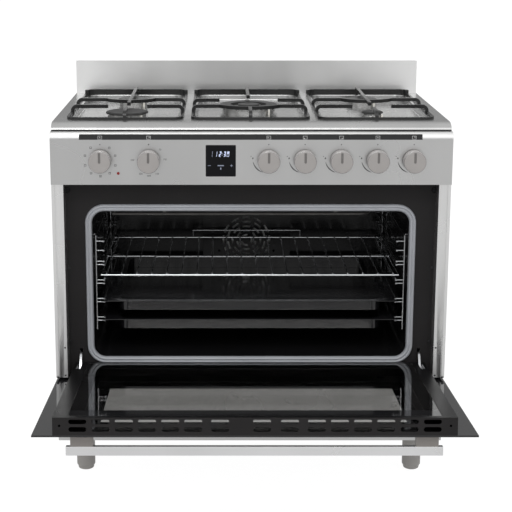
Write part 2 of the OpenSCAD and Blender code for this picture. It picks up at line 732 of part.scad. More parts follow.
// fixed arms, each with the pin that the door turns on
module hinge_arms() color(chrome) stand() both_sides() union() {
    across(arm_x - arm_t / 2, arm_x + arm_t / 2) polygon([
        [hinge_y - 4, hinge_z - 4], [hinge_y + 5, hinge_z - 5], [body_y, 297],
        [body_y + 40, 297], [body_y + 40, 325], [body_y, 325], [hinge_y + 14, 318], [hinge_y - 4, hinge_z + 5]
    ]);
    rod_x(arm_x - 8.5, arm_x + 8.5, hinge_y, hinge_z, pin_r);
    // foot that fixes the arm behind the front frame
    block(arm_x + arm_t / 2 - weld, arm_x + 14, body_y + sheet, body_y + sheet + 3, 297, 325);
}

// cheeks on the door at each side of an arm, bored for its pin
module hinge_brackets() color(chrome) door_pose() both_sides() for (s = [-1, 1]) difference() {
    translate([arm_x + s * (arm_t / 2 + cheek_gap + cheek_t / 2), 0, 0])
        block(-cheek_t / 2, cheek_t / 2, glass_t + 2, door_back - 2 - glass_t - touch, door_bottom + 2, 328);
    rod_x(arm_x - 12, arm_x + 12, hinge_y, hinge_z, pin_r + run_fit);
}

base_pan();
left_side_panel();
right_side_panel();
back_panel();
left_front_post();
right_front_post();
lower_front_panel();
feet();
oven_liner();
oven_insulation();
oven_front_frame();
oven_gasket();
frame_screws();
fan_cover();
fan_wheel();
fan_motor();
grill_element();
bottom_element();
oven_lamps();
left_shelf_ladder();
right_shelf_ladder();
wire_shelf();
upper_tray();
lower_tray();
control_panel();
clock_display();
indicator_lamp();
function_knob();
function_spindle();
thermostat_knob();
thermostat_spindle();
oven_switches();
gas_knob(0);  // gas_knob_1
gas_knob(1);  // gas_knob_2
gas_knob(2);  // gas_knob_3
gas_knob(3);  // gas_knob_4
gas_knob(4);  // gas_knob_5
gas_spindle(0);  // gas_spindle_1
gas_spindle(1);  // gas_spindle_2
gas_spindle(2);  // gas_spindle_3
gas_spindle(3);  // gas_spindle_4
gas_spindle(4);  // gas_spindle_5
gas_manifold();
hob_top();
splashback();
left_pan_support();
centre_pan_support();
right_pan_support();
burner_cups();
burner_caps();
igniters();
door_frame();
door_outer_glass();
door_inner_glass();
door_handle();
handle_posts();
hinge_arms();
hinge_brackets();
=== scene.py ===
import math

import bpy
from bpy.props import FloatProperty, FloatVectorProperty, IntProperty, PointerProperty
from mathutils import Matrix, Vector


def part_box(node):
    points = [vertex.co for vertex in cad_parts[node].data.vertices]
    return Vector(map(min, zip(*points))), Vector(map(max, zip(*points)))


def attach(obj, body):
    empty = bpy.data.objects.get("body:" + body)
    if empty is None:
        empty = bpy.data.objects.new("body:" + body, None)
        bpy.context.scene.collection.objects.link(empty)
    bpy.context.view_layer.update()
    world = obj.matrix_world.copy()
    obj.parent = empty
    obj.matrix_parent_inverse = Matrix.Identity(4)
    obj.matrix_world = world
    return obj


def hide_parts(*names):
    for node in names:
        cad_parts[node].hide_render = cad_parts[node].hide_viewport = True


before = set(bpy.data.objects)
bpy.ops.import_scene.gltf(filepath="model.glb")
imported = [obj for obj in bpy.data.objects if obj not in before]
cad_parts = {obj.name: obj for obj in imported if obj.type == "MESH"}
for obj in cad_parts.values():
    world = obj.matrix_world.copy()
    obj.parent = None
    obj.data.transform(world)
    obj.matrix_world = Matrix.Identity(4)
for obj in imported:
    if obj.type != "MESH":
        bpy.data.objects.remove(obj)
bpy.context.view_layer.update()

bl_info = {
    "name": "Freestanding gas range",
    "version": (1, 0, 0),
    "blender": (4, 5, 0),
    "location": "3D View > Sidebar > Range",
    "description": "Builds a five-burner gas range over one wide electric oven",
    "category": "Add Mesh",
}

MM = 0.001
PANEL_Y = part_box("control_panel")[0].y
HALF_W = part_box("control_panel")[1].x
HOB_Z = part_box("hob_top")[1].z
KNOB_LOW, KNOB_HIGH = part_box("function_knob")
KNOB_Z = (KNOB_LOW.z + KNOB_HIGH.z) / 2
GAS_TAPS = range(1, 6)

# middle of the clock, in millimetres sideways and above the floor
CLOCK_X, CLOCK_Z = -68.5, 784.5

# the hinge pins' line, and how far the drawn door is turned down from shut
HINGE = Vector((0, PANEL_Y + 24 * MM, 285.2 * MM))
DOOR_TURN = math.radians(85.8)
DOOR = Matrix.Translation(HINGE) @ Matrix.Rotation(DOOR_TURN, 4, "X") @ Matrix.Translation(-HINGE)
UPRIGHT = Matrix.Rotation(math.radians(90), 4, "X")

# the door's clear window, and where the inner pane's black print begins, on the shut door in millimetres
WINDOW_X, WINDOW_LOW, WINDOW_HIGH, PRINT_Z = 318.5, 381, 632, 672


def at(x, y, z):
    """Place given in millimetres: sideways, behind the control panel's face, above the floor."""
    return Vector((x * MM, PANEL_Y + y * MM, z * MM))


# ---------- sizes and finishes that a user may change ----------

def size(name, about, default, low, high):
    return FloatProperty(name=name, description=about, default=default, min=low, max=high,
                         unit="LENGTH", subtype="DISTANCE")


def tint(name, about, default):
    return FloatVectorProperty(name=name, description=about, default=default, min=0.0, max=1.0,
                               size=3, subtype="COLOR")


class RangeSizes(bpy.types.PropertyGroup):
    sheet_edge: size("Sheet edge", "Rounding of folded sheet edges", 0.0006, 0.0001, 0.002)
    support_edge: size("Support edge", "Rounding of the pan supports' bars", 0.0017, 0.0005, 0.0024)
    well_edge: size("Well edge", "Rounding of the hob's pressed wells", 0.0038, 0.001, 0.006)
    knob_edge: size("Knob edge", "Rounding of a knob's front edge", 0.0011, 0.0003, 0.003)
    groove: size("Knob groove", "Width of a knob's indicator groove", 0.0054, 0.002, 0.008)
    digit_height: size("Digit height", "Height of the clock's digits", 0.012, 0.006, 0.02)
    seal_peak: size("Seal height", "Height of the oven seal's lips", 0.0081, 0.004, 0.0083)
    knob_sides: IntProperty(name="Knob sides", description="Flat sides round a knob", default=72,
                            min=32, max=128)


class RangeFinishes(bpy.types.PropertyGroup):
    steel: tint("Steel", "Brushed stainless steel", (0.60, 0.60, 0.597))
    enamel: tint("Enamel", "Black oven enamel", (0.007, 0.007, 0.0075))
    support: tint("Pan supports", "Black enamel on the pan supports", (0.012, 0.012, 0.012))
    knob: tint("Knobs", "Warm grey of the knobs", (0.345, 0.327, 0.317))
    seal: tint("Seal", "Grey oven seal", (0.34, 0.352, 0.376))
    digits: tint("Digits", "Glow of the clock's digits", (0.66, 0.74, 1.0))
    outer_glass: tint("Outer glass", "Tint of the door's clear window", (0.90, 0.895, 0.88))
    inner_glass: tint("Inner glass", "Tint of the door's inner pane", (0.95, 0.943, 0.93))


def sizes():
    return bpy.context.scene.range_sizes


def finishes():
    return bpy.context.scene.range_finishes


# ---------- modelling helpers ----------

def clear_pick():
    if bpy.context.object and bpy.context.object.mode != "OBJECT":
        bpy.ops.object.mode_set(mode="OBJECT")
    bpy.ops.object.select_all(action="DESELECT")


def pick(piece):
    clear_pick()
    piece.select_set(True)
    bpy.context.view_layer.objects.active = piece
    return piece


def rename(piece, name):
    piece.name = name
    piece.data.name = name
    return piece


def edit(piece, *steps):
    """Runs edit-mode steps with the whole mesh selected before each."""
    pick(piece)
    bpy.ops.object.mode_set(mode="EDIT")
    for step in steps:
        bpy.ops.mesh.select_all(action="SELECT")
        step()
    bpy.ops.object.mode_set(mode="OBJECT")
    return piece


def merge(piece, gap=1e-5):
    return edit(piece, lambda: bpy.ops.mesh.remove_doubles(threshold=gap))


def face_out(piece):
    return edit(piece, lambda: bpy.ops.mesh.normals_make_consistent(inside=False))


def apply(piece, kind, **values):
    pick(piece)
    modifier = piece.modifiers.new(kind.lower(), kind)
    for key, value in values.items():
        setattr(modifier, key, value)
    bpy.ops.object.modifier_apply(modifier=modifier.name)
    return piece


def settle(piece):
    """Puts the object's place into its mesh."""
    pick(piece)
    bpy.ops.object.transform_apply(location=True, rotation=True, scale=True)
    return piece


def smooth(piece, angle=35):
    pick(piece)
    bpy.ops.object.shade_smooth_by_angle(angle=math.radians(angle))
    return apply(piece, "WEIGHTED_NORMAL", mode="FACE_AREA", weight=100, keep_sharp=True)


def round_edges(piece, width, segments=2, angle=32):
    return apply(piece, "BEVEL", width=width, segments=segments, limit_method="ANGLE",
                 angle_limit=math.radians(angle), harden_normals=False, miter_outer="MITER_ARC")


def join(name, pieces):
    clear_pick()
    for piece in pieces:
        piece.select_set(True)
    bpy.context.view_layer.objects.active = pieces[0]
    bpy.ops.object.join()
    return rename(bpy.context.object, name)


def paint(piece, *materials):
    piece.data.materials.clear()
    for material in materials:
        piece.data.materials.append(material)
    return piece


def hand_over(piece, body, material=None, nodes=()):
    """Finish, body and the CAD nodes that the piece stands for."""
    if material:
        paint(piece, material)
    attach(piece, body)
    if nodes:
        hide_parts(*nodes)
    return piece


def cad_copy(node, name, edge=0.0, segments=2, angle=32, shade=35):
    """Piece drawn from a CAD node: its triangles are joined into faces and its edges rounded."""
    piece = bpy.data.objects.new(name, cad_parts[node].data.copy())
    bpy.context.scene.collection.objects.link(piece)
    rename(piece, name)
    pick(piece)
    bpy.ops.mesh.customdata_custom_splitnormals_clear()
    edit(piece, lambda: bpy.ops.mesh.remove_doubles(threshold=2e-5),
         lambda: bpy.ops.mesh.dissolve_limited(angle_limit=math.radians(0.6)))
    if edge:
        round_edges(piece, edge, segments, angle)
    return smooth(piece, shade)


def slab(name, low, high, edge=0.0, segments=2):
    bpy.ops.object.select_all(action="DESELECT")
    bpy.ops.mesh.primitive_cube_add(size=1, location=(low + high) / 2)
    piece = rename(bpy.context.object, name)
    piece.scale = high - low
    settle(piece)
    if edge:
        round_edges(piece, edge, segments)
    return piece


def lathe(name, profile, centre, sides, direction="Y"):
    """Spins a profile of (radius, distance) points about an axis through the centre."""
    mesh = bpy.data.meshes.new(name)
    if direction == "Y":
        points = [centre + Vector((0, d, r)) for r, d in profile]
        axis = (0, 1, 0)
    else:
        points = [centre + Vector((r, 0, d)) for r, d in profile]
        axis = (0, 0, 1)
    mesh.from_pydata(points, [(i, i + 1) for i in range(len(points) - 1)], [])
    piece = bpy.data.objects.new(name, mesh)
    bpy.context.scene.collection.objects.link(piece)
    edit(piece, lambda: bpy.ops.mesh.spin(steps=sides, angle=2 * math.pi, center=centre, axis=axis),
         lambda: bpy.ops.mesh.remove_doubles(threshold=1e-6),
         lambda: bpy.ops.mesh.normals_make_consistent(inside=False))
    return piece


def flat_shape(name, outlines, thickness, place):
    """Plate cut to flat outlines, an outline inside another being a hole."""
    curve = bpy.data.curves.new(name, "CURVE")
    curve.dimensions = "2D"
    curve.fill_mode = "BOTH"
    curve.extrude = thickness / 2
    for outline in outlines:
        spline = curve.splines.new("POLY")
        spline.points.add(len(outline) - 1)
        for knot, (x, y) in zip(spline.points, outline):
            knot.co = (x * MM, y * MM, 0, 1)
        spline.use_cyclic_u = True
    piece = bpy.data.objects.new(name, curve)
    bpy.context.scene.collection.objects.link(piece)
    pick(piece)
    bpy.ops.object.convert(target="MESH")
    piece = rename(bpy.context.object, name)
    piece.matrix_world = place
    return face_out(merge(settle(piece), 1e-6))


def disc(x, y, r, n=16):
    return [(x + r * math.cos(2 * math.pi * k / n), y + r * math.sin(2 * math.pi * k / n)) for k in range(n)]


def rect(x0, x1, y0, y1):
    return [(x0, y0), (x1, y0), (x1, y1), (x0, y1)]


def box_mark(x, y, w, h, line):
    """Outlined square, as two nested outlines."""
    return [rect(x - w / 2, x + w / 2, y - h / 2, y + h / 2),
            rect(x - w / 2 + line, x + w / 2 - line, y - h / 2 + line, y + h / 2 - line)]


def round_rect(w, h, r, steps=6):
    out = []
    for cx, cy, a0 in ((1, 1, 0), (-1, 1, 90), (-1, -1, 180), (1, -1, 270)):
        for k in range(steps + 1):
            a = math.radians(a0 + 90 * k / steps)
            out.append((cx * (w / 2 - r) + r * math.cos(a), cy * (h / 2 - r) + r * math.sin(a)))
    return out


def arc_slot(r, a0, a1, width, steps=6):
    """Slot of the given width along part of a circle, angles in degrees."""
    out = []
    for k in range(steps + 1):
        a = math.radians(a0 + (a1 - a0) * k / steps)
        out.append(((r + width / 2) * math.cos(a), (r + width / 2) * math.sin(a)))
    for k in range(steps, -1, -1):
        a = math.radians(a0 + (a1 - a0) * k / steps)
        out.append(((r - width / 2) * math.cos(a), (r - width / 2) * math.sin(a)))
    return out


def moved(outline, x, y):
    return [(a + x, b + y) for a, b in outline]


# ---------- shared shader groups ----------

def group(name, inputs, outputs):
    tree = bpy.data.node_groups.new(name, "ShaderNodeTree")
    for label, kind, default in inputs:
        socket = tree.interface.new_socket(name=label, in_out="INPUT", socket_type=kind)
        if default is not None:
            socket.default_value = default
    for label in outputs:
        tree.interface.new_socket(name=label, in_out="OUTPUT", socket_type="NodeSocketFloat")
    return tree, tree.nodes.new("NodeGroupInput"), tree.nodes.new("NodeGroupOutput")


def noise(tree, vector, scale, detail=3.0, rough=0.55):
    node = tree.nodes.new("ShaderNodeTexNoise")
    node.inputs["Scale"].default_value = scale
    node.inputs["Detail"].default_value = detail
    node.inputs["Roughness"].default_value = rough
    tree.links.new(vector, node.inputs["Vector"])
    return node.outputs[0]


def stretched(tree, vector, factor):
    node = tree.nodes.new("ShaderNodeVectorMath")
    node.operation = "MULTIPLY"
    tree.links.new(vector, node.inputs[0])
    tree.links.new(factor, node.inputs[1])
    return node.outputs[0]


def spread(tree, value, low, high, out_low=0.0, out_high=1.0):
    node = tree.nodes.new("ShaderNodeMapRange")
    node.inputs["From Min"].default_value = low
    node.inputs["From Max"].default_value = high
    node.inputs["To Min"].default_value = out_low
    node.inputs["To Max"].default_value = out_high
    tree.links.new(value, node.inputs["Value"])
    return node.outputs[0]


def brushing_group():
    """Fine brushed lines and broad soft bands along them."""
    tree, enter, leave = group("brushing", (
        ("Vector", "NodeSocketVector", None),
        ("Line Stretch", "NodeSocketVector", (6.0, 900.0, 900.0)),
        ("Band Stretch", "NodeSocketVector", (5.0, 0.6, 0.6)),
    ), ("Lines", "Bands"))
    lines = noise(tree, stretched(tree, enter.outputs["Vector"], enter.outputs["Line Stretch"]), 1.0, 2.0)
    bands = noise(tree, stretched(tree, enter.outputs["Vector"], enter.outputs["Band Stretch"]), 1.0, 2.0)
    tree.links.new(spread(tree, lines, 0.3, 0.7), leave.inputs["Lines"])
    tree.links.new(spread(tree, bands, 0.3, 0.7), leave.inputs["Bands"])
    return tree


def handling_group():
    """Faint smudges, and the fine orange peel of a fired or sprayed coat."""
    tree, enter, leave = group("handling", (
        ("Vector", "NodeSocketVector", None),
        ("Smudge Scale", "NodeSocketFloat", 9.0),
        ("Peel Scale", "NodeSocketFloat", 420.0),
    ), ("Smudge", "Peel"))
    for label, scale, detail in (("Smudge", "Smudge Scale", 2.0), ("Peel", "Peel Scale", 2.0)):
        node = tree.nodes.new("ShaderNodeTexNoise")
        node.inputs["Detail"].default_value = detail
        tree.links.new(enter.outputs["Vector"], node.inputs["Vector"])
        tree.links.new(enter.outputs[scale], node.inputs["Scale"])
        tree.links.new(spread(tree, node.outputs[0], 0.2, 0.8), leave.inputs[label])
    return tree


GROUPS = {}


def shared(name):
    if name not in GROUPS:
        GROUPS[name] = {"brushing": brushing_group, "handling": handling_group}[name]()
    return GROUPS[name]


# ---------- materials ----------

class Coat:
    """A Principled material whose colour, roughness and relief come from the shared groups."""

    def __init__(self, name, **constants):
        self.material = bpy.data.materials.new(name)
        self.material.use_nodes = True
        self.tree = self.material.node_tree
        self.tree.nodes.clear()
        self.shader = self.tree.nodes.new("ShaderNodeBsdfPrincipled")
        output = self.tree.nodes.new("ShaderNodeOutputMaterial")
        self.tree.links.new(self.shader.outputs[0], output.inputs[0])
        self.place = self.tree.nodes.new("ShaderNodeTexCoord").outputs["Object"]
        for key, value in constants.items():
            self.shader.inputs[key.replace("_", " ")].default_value = value

    def effect(self, name, **values):
        node = self.tree.nodes.new("ShaderNodeGroup")
        node.node_tree = shared(name)
        self.tree.links.new(self.place, node.inputs["Vector"])
        for key, value in values.items():
            node.inputs[key.replace("_", " ")].default_value = value
        return node.outputs

    def colour(self, mask, dark, light):
        node = self.tree.nodes.new("ShaderNodeMix")
        node.data_type = "RGBA"
        node.inputs[6].default_value = (*dark, 1)
        node.inputs[7].default_value = (*light, 1)
        self.tree.links.new(mask, node.inputs[0])
        return node.outputs[2]

    def vary(self, mask, colour, contrast):
        """Base colour that a mask moves between a darker and a lighter shade."""
        self.feed("Base Color", self.colour(mask, scaled(colour, 1 - contrast), scaled(colour, 1 + contrast)))

    def maths(self, operation, *values):
        node = self.tree.nodes.new("ShaderNodeMath")
        node.operation = operation
        for socket, value in zip(node.inputs, values):
            if isinstance(value, float):
                socket.default_value = value
            else:
                self.tree.links.new(value, socket)
        return node.outputs[0]

    def feed(self, socket, value):
        self.tree.links.new(value, self.shader.inputs[socket])

    def relief(self, height, strength, distance):
        node = self.tree.nodes.new("ShaderNodeBump")
        node.inputs["Strength"].default_value = strength
        node.inputs["Distance"].default_value = distance
        self.tree.links.new(height, node.inputs["Height"])
        self.feed("Normal", node.outputs[0])


def scaled(colour, factor):
    return tuple(min(1.0, c * factor) for c in colour)


def brushed(name, colour, rough=(0.24, 0.36), contrast=0.08, lines=(6.0, 900.0, 900.0),
            bands=(5.0, 0.6, 0.6), relief=0.05, painted_light_ends=None):
    """Brushed metal: its grain runs along the short stretch of the lines, and it may be painted lighter
    towards both sideways edges, a painted reflection.
    """
    coat = Coat(name, Metallic=1.0)
    grain = coat.effect("brushing", Line_Stretch=lines, Band_Stretch=bands)
    marks = coat.effect("handling", Smudge_Scale=7.0)
    mask = grain["Bands"]
    # painted reflection: the colour grows lighter towards both sideways edges
    if painted_light_ends:
        parts = coat.tree.nodes.new("ShaderNodeSeparateXYZ")
        coat.tree.links.new(coat.place, parts.inputs[0])
        sideways = coat.maths("ABSOLUTE", parts.outputs["X"])
        bands = spread(coat.tree, mask, 0, 1, 0, 0.3)
        mask = coat.maths("MULTIPLY_ADD", spread(coat.tree, sideways, *painted_light_ends), 0.75, bands)
    coat.vary(mask, colour, contrast)
    coat.feed("Roughness", spread(coat.tree, marks["Smudge"], 0, 1, *rough))
    coat.relief(grain["Lines"], relief, 0.0002)
    return coat.material


def coated(name, colour, rough=(0.3, 0.4), contrast=0.1, peel=0.1, smudge=9.0, peel_scale=420.0, metallic=0.0,
           **constants):
    """Painted, enamelled, moulded or plated surface."""
    coat = Coat(name, Metallic=metallic, **constants)
    marks = coat.effect("handling", Smudge_Scale=smudge, Peel_Scale=peel_scale)
    coat.vary(marks["Smudge"], colour, contrast)
    coat.feed("Roughness", spread(coat.tree, marks["Smudge"], 0, 1, *rough))
    if peel:
        coat.relief(marks["Peel"], peel, 0.0002)
    return coat.material


MATERIALS = {}


def make_materials():
    look = finishes()
    steel = tuple(look.steel)
    m = MATERIALS
    m["steel"] = brushed("stainless", steel)
    # the splashback is a lighter copy of the steel, with strong soft upright bands and lighter sides: painted
    # reflection
    m["splash"] = brushed("splashback_steel_painted_reflection", scaled(steel, 1.28), contrast=0.22, rough=(0.34, 0.42),
                          lines=(900.0, 900.0, 6.0), bands=(6.5, 0.3, 0.4), painted_light_ends=(0.1, 0.46))
    # the hob top is a darker copy of the steel: painted shade
    m["hob"] = brushed("hob_steel_painted_shade", scaled(steel, 0.84), rough=(0.2, 0.3), contrast=0.07,
                       lines=(900.0, 8.0, 900.0), bands=(7.0, 2.0, 0.5))
    m["side"] = coated("painted_side", (0.34, 0.34, 0.336), (0.35, 0.45), 0.05, 0.2, peel_scale=700.0)
    m["zinc"] = coated("zinc_sheet", (0.42, 0.43, 0.44), (0.35, 0.55), 0.16, 0.05, smudge=26.0, metallic=1.0)
    m["foot"] = coated("foot_grey", (0.30, 0.288, 0.275), (0.35, 0.45), 0.06, 0.1)
    m["enamel"] = coated("black_enamel", tuple(look.enamel), (0.12, 0.18), 0.15, 0.04, peel_scale=160.0,
                         Specular_IOR_Level=0.3)
    # a darker, less shiny copy of the frame enamel for the door's upward faces: painted shade
    m["channel"] = coated("door_channel_painted_shade", (0.004, 0.004, 0.0043), (0.26, 0.34), 0.15, 0.04,
                          peel_scale=160.0, Specular_IOR_Level=0.15)
    m["tray"] = coated("tray_enamel", (0.009, 0.009, 0.01), (0.08, 0.14), 0.15, 0.04, peel_scale=160.0,
                       Specular_IOR_Level=0.6)
    m["frame"] = coated("front_frame_enamel", (0.020, 0.0188, 0.0192), (0.3, 0.38), 0.12, 0.1,
                        peel_scale=500.0, Specular_IOR_Level=0.12)
    m["wool"] = coated("mineral_wool", (0.62, 0.57, 0.42), (0.9, 1.0), 0.25, 0.9, smudge=60.0,
                       peel_scale=240.0)
    m["seal"] = coated("oven_seal", tuple(look.seal), (0.3, 0.42), 0.1, 0.25, peel_scale=900.0)
    m["screw"] = coated("screw_steel", (0.05, 0.05, 0.052), (0.3, 0.45), 0.2, 0.05, metallic=1.0)
    m["chrome"] = coated("chrome_wire", (0.60, 0.61, 0.625), (0.08, 0.16), 0.04, 0.03, smudge=20.0,
                         metallic=1.0)
    m["element"] = coated("element_steel", (0.13, 0.125, 0.12), (0.35, 0.5), 0.25, 0.15, smudge=30.0,
                          metallic=0.6)
    m["lamp_glass"] = coated("lamp_glass", (0.55, 0.55, 0.52), (0.1, 0.2), 0.08, 0.2, peel_scale=200.0)
    m["black_gloss"] = coated("display_black", (0.006, 0.006, 0.007), (0.06, 0.12), 0.1, 0.0,
                              Specular_IOR_Level=0.12)
    m["strip"] = coated("strip_black", (0.018, 0.018, 0.019), (0.25, 0.32), 0.1, 0.02,
                        Specular_IOR_Level=0.22)
    m["red"] = coated("red_lens", (0.24, 0.006, 0.006), (0.1, 0.16), 0.1, 0.0)
    m["knob"] = coated("knob_grey", tuple(look.knob), (0.33, 0.42), 0.035, 0.06, smudge=30.0,
                       peel_scale=1400.0, Coat_Weight=0.15, Coat_Roughness=0.2)
    # a darker copy of the knob grey for the indicator groove: painted shade in the recess
    m["groove"] = coated("knob_groove_painted_shade", scaled(look.knob, 0.45), (0.4, 0.5), 0.05, 0.05, smudge=30.0)
    m["rim"] = coated("knob_rim", (0.42, 0.41, 0.41), (0.16, 0.24), 0.05, 0.02, metallic=1.0)
    m["spindle"] = coated("spindle_steel", (0.5, 0.5, 0.5), (0.25, 0.35), 0.08, 0.04, metallic=1.0)
    m["plastic"] = coated("switch_plastic", (0.6, 0.57, 0.5), (0.4, 0.5), 0.06, 0.1)
    m["brass"] = coated("brass", (0.72, 0.53, 0.24), (0.25, 0.38), 0.12, 0.06, metallic=1.0)
    m["support"] = coated("support_black", tuple(look.support), (0.22, 0.34), 0.2, 0.22, peel_scale=700.0)
    m["cap"] = coated("burner_cap_black", (0.022, 0.022, 0.022), (0.42, 0.55), 0.2, 0.3, peel_scale=900.0)
    m["alloy"] = coated("burner_alloy", (0.6, 0.6, 0.59), (0.22, 0.32), 0.08, 0.03, smudge=12.0, metallic=1.0)
    m["ceramic"] = coated("ceramic", (0.78, 0.76, 0.7), (0.3, 0.4), 0.04, 0.1)
    # the front posts are a lighter copy of the steel: painted light
    m["post_steel_painted_light"] = brushed("post_steel_painted_light", scaled(steel, 1.4), lines=(900.0, 900.0, 6.0),
                              bands=(40.0, 2.0, 0.3))
    m["ladder"] = coated("ladder_wire", (0.38, 0.385, 0.395), (0.16, 0.24), 0.06, 0.03, smudge=20.0,
                         metallic=1.0)
    m["handle"] = brushed("handle_metal", (0.83, 0.83, 0.835), rough=(0.25, 0.33), contrast=0.04)
    m["post"] = coated("handle_post_grey", (0.27, 0.25, 0.235), (0.35, 0.45), 0.05, 0.1)
    m["ink"] = coated("printed_ink", (0.05, 0.05, 0.052), (0.4, 0.5), 0.15, 0.0)
    m["pale_ink"] = coated("pale_ink", (0.5, 0.5, 0.5), (0.4, 0.5), 0.1, 0.0)
    m["frit"] = coated("glass_black_print", (0.012, 0.012, 0.013), (0.03, 0.07), 0.1, 0.0)
    m["clear"] = glass("window_glass", tuple(look.outer_glass))
    m["inner"] = glass("inner_pane_glass", tuple(look.inner_glass))
    m["digits"] = glowing("clock_digits", tuple(look.digits), 1.0)
    m["faint"] = glowing("clock_marks", tuple(look.digits), 0.35)


def glass(name, colour):
    coat = Coat(name, Transmission_Weight=1.0, IOR=1.5)
    marks = coat.effect("handling", Smudge_Scale=5.0)
    coat.vary(marks["Smudge"], colour, 0.02)
    coat.feed("Roughness", spread(coat.tree, marks["Smudge"], 0, 1, 0.0, 0.02))
    return coat.material


def glowing(name, colour, strength):
    coat = Coat(name, Emission_Strength=strength, Roughness=0.5)
    marks = coat.effect("handling", Smudge_Scale=60.0)
    coat.feed("Base Color", coat.colour(marks["Smudge"], (0.02, 0.02, 0.02), (0.03, 0.03, 0.03)))
    coat.feed("Emission Color", coat.colour(marks["Smudge"], scaled(colour, 0.85), colour))
    return coat.material


# ---------- the stage ----------

class Maker:
    """Base of the operators: makes the finishes on first use, then the operator's own pieces."""

    def execute(self, context):
        if not MATERIALS:
            make_materials()
        self.make(MATERIALS)
        return {"FINISHED"}


class RANGE_OT_stage(Maker, bpy.types.Operator):
    """Pale floor, soft studio light and the camera"""
    bl_idname = "range_maker.stage"
    bl_label = "Stage"

    def make(self, m):
        scene = bpy.context.scene
        scene.view_settings.view_transform = "Standard"
        camera = bpy.data.objects.new("camera", bpy.data.cameras.new("camera"))
        scene.collection.objects.link(camera)
        scene.camera = camera
        camera.location = at(-71, -2935, 1295)
        camera.rotation_euler = (math.radians(90 - 12.2), 0, 0)
        camera.data.lens = 93.66
        camera.data.shift_x = 0.071
        camera.data.shift_y = -0.080
        self.floor()
        self.light("front_softbox", (-0.5, -2.6, 3.3), (0, -0.4, 0.7), 1.4, 0.8, 20)
        self.light("left_softbox", (-3.4, -0.6, 1.9), (0, 0, 0.6), 1.8, 1.8, 7)
        self.light("right_softbox", (3.4, -0.4, 1.9), (0, 0, 0.6), 1.8, 1.8, 5)
        self.sky(scene)

    def floor(self):
        bpy.ops.object.select_all(action="DESELECT")
        bpy.ops.mesh.primitive_plane_add(size=60, location=(0, 0, -0.0005))
        floor = rename(bpy.context.object, "studio_floor")
        coat = Coat("studio_floor", Roughness=0.9, Specular_IOR_Level=0.0, Emission_Color=(1, 1, 1, 1))
        marks = coat.effect("handling", Smudge_Scale=2.0)
        coat.feed("Base Color", coat.colour(marks["Smudge"], (0.125, 0.125, 0.125), (0.13, 0.13, 0.13)))
        seen = coat.tree.nodes.new("ShaderNodeLightPath").outputs["Is Camera Ray"]
        coat.feed("Emission Strength", spread(coat.tree, seen, 0, 1, 0.56, 0.96))
        paint(floor, coat.material)
        settle(floor)

    def light(self, name, place, target, width, height, power):
        lamp = bpy.data.lights.new(name, "AREA")
        lamp.shape = "RECTANGLE"
        lamp.size, lamp.size_y, lamp.energy = width, height, power
        lamp_object = bpy.data.objects.new(name, lamp)
        bpy.context.scene.collection.objects.link(lamp_object)
        lamp_object.location = place
        lamp_object.rotation_euler = (Vector(target) - Vector(place)).to_track_quat("-Z", "Y").to_euler()

    def sky(self, scene):
        world = bpy.data.worlds.new("studio")
        scene.world = world
        world.use_nodes = True
        tree = world.node_tree
        tree.nodes.clear()
        seen = tree.nodes.new("ShaderNodeBackground")
        lit = tree.nodes.new("ShaderNodeBackground")
        seen.inputs["Color"].default_value = (1, 1, 1, 1)
        seen.inputs["Strength"].default_value = 1.0
        direction = tree.nodes.new("ShaderNodeTexCoord").outputs["Generated"]
        parts = tree.nodes.new("ShaderNodeSeparateXYZ")
        tree.links.new(direction, parts.inputs[0])
        # dim behind, brighter overhead, and a broad bright wall in front above the floor
        ahead = spread(tree, parts.outputs["Y"], -0.3, -0.85)
        above = spread(tree, parts.outputs["Z"], 0.0, 0.3)
        wall = tree.nodes.new("ShaderNodeMath")
        wall.operation = "MULTIPLY"
        tree.links.new(ahead, wall.inputs[0])
        tree.links.new(above, wall.inputs[1])
        total = tree.nodes.new("ShaderNodeMath")
        total.operation = "ADD"
        tree.links.new(spread(tree, wall.outputs[0], 0, 1, 0.0, 1.15), total.inputs[0])
        tree.links.new(spread(tree, parts.outputs["Z"], 0.1, 0.85, 0.3, 0.85), total.inputs[1])
        tree.links.new(total.outputs[0], lit.inputs["Strength"])
        lit.inputs["Color"].default_value = (1, 1, 1, 1)
        choose = tree.nodes.new("ShaderNodeMixShader")
        tree.links.new(tree.nodes.new("ShaderNodeLightPath").outputs["Is Camera Ray"], choose.inputs[0])
        tree.links.new(lit.outputs[0], choose.inputs[1])
        tree.links.new(seen.outputs[0], choose.inputs[2])
        output = tree.nodes.new("ShaderNodeOutputWorld")
        tree.links.new(choose.outputs[0], output.inputs[0])


# ---------- body ----------

class RANGE_OT_body(Maker, bpy.types.Operator):
    """Side panels, front posts, base, back, lower front panel and feet"""
    bl_idname = "range_maker.body"
    bl_label = "Body"

    def make(self, m):
        edge = sizes().sheet_edge
        for node, slot, finish in (
            ("base_pan", "zinc_sheet", "zinc"), ("back_panel", "zinc_sheet", "zinc"),
            ("left_side_panel", "painted_side", "side"), ("right_side_panel", "painted_side", "side"),
            ("left_front_post", "stainless", "post_steel_painted_light"), ("right_front_post", "stainless", "post_steel_painted_light"),
            ("lower_front_panel", "stainless", "steel"),
        ):
            hand_over(cad_copy(node, node + "_sheet", edge), "root", m[finish], (node,))
        self.feet()

    def feet(self):
        low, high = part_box("feet")
        r = 22.25 * MM
        profile = [(0, 0), (0.0165, 0), (0.0184, 0.0012), (0.0192, 0.0035), (0.0193, 0.0082),
                   (0.0208, 0.0088), (0.0219, 0.0104), (r, 0.0128), (r, high.z), (0, high.z)]
        feet = [lathe("foot", profile, Vector((x, y, 0)), 48, "Z")
                for x in (low.x + r, high.x - r) for y in (low.y + r, high.y - r)]
        hand_over(smooth(join("turned_feet", feet), 40), "root", MATERIALS["foot"], ("feet",))


# ---------- control panel ----------

SEGMENTS = {"0": "abcdef", "1": "bc", "2": "abged", "3": "abgcd"}


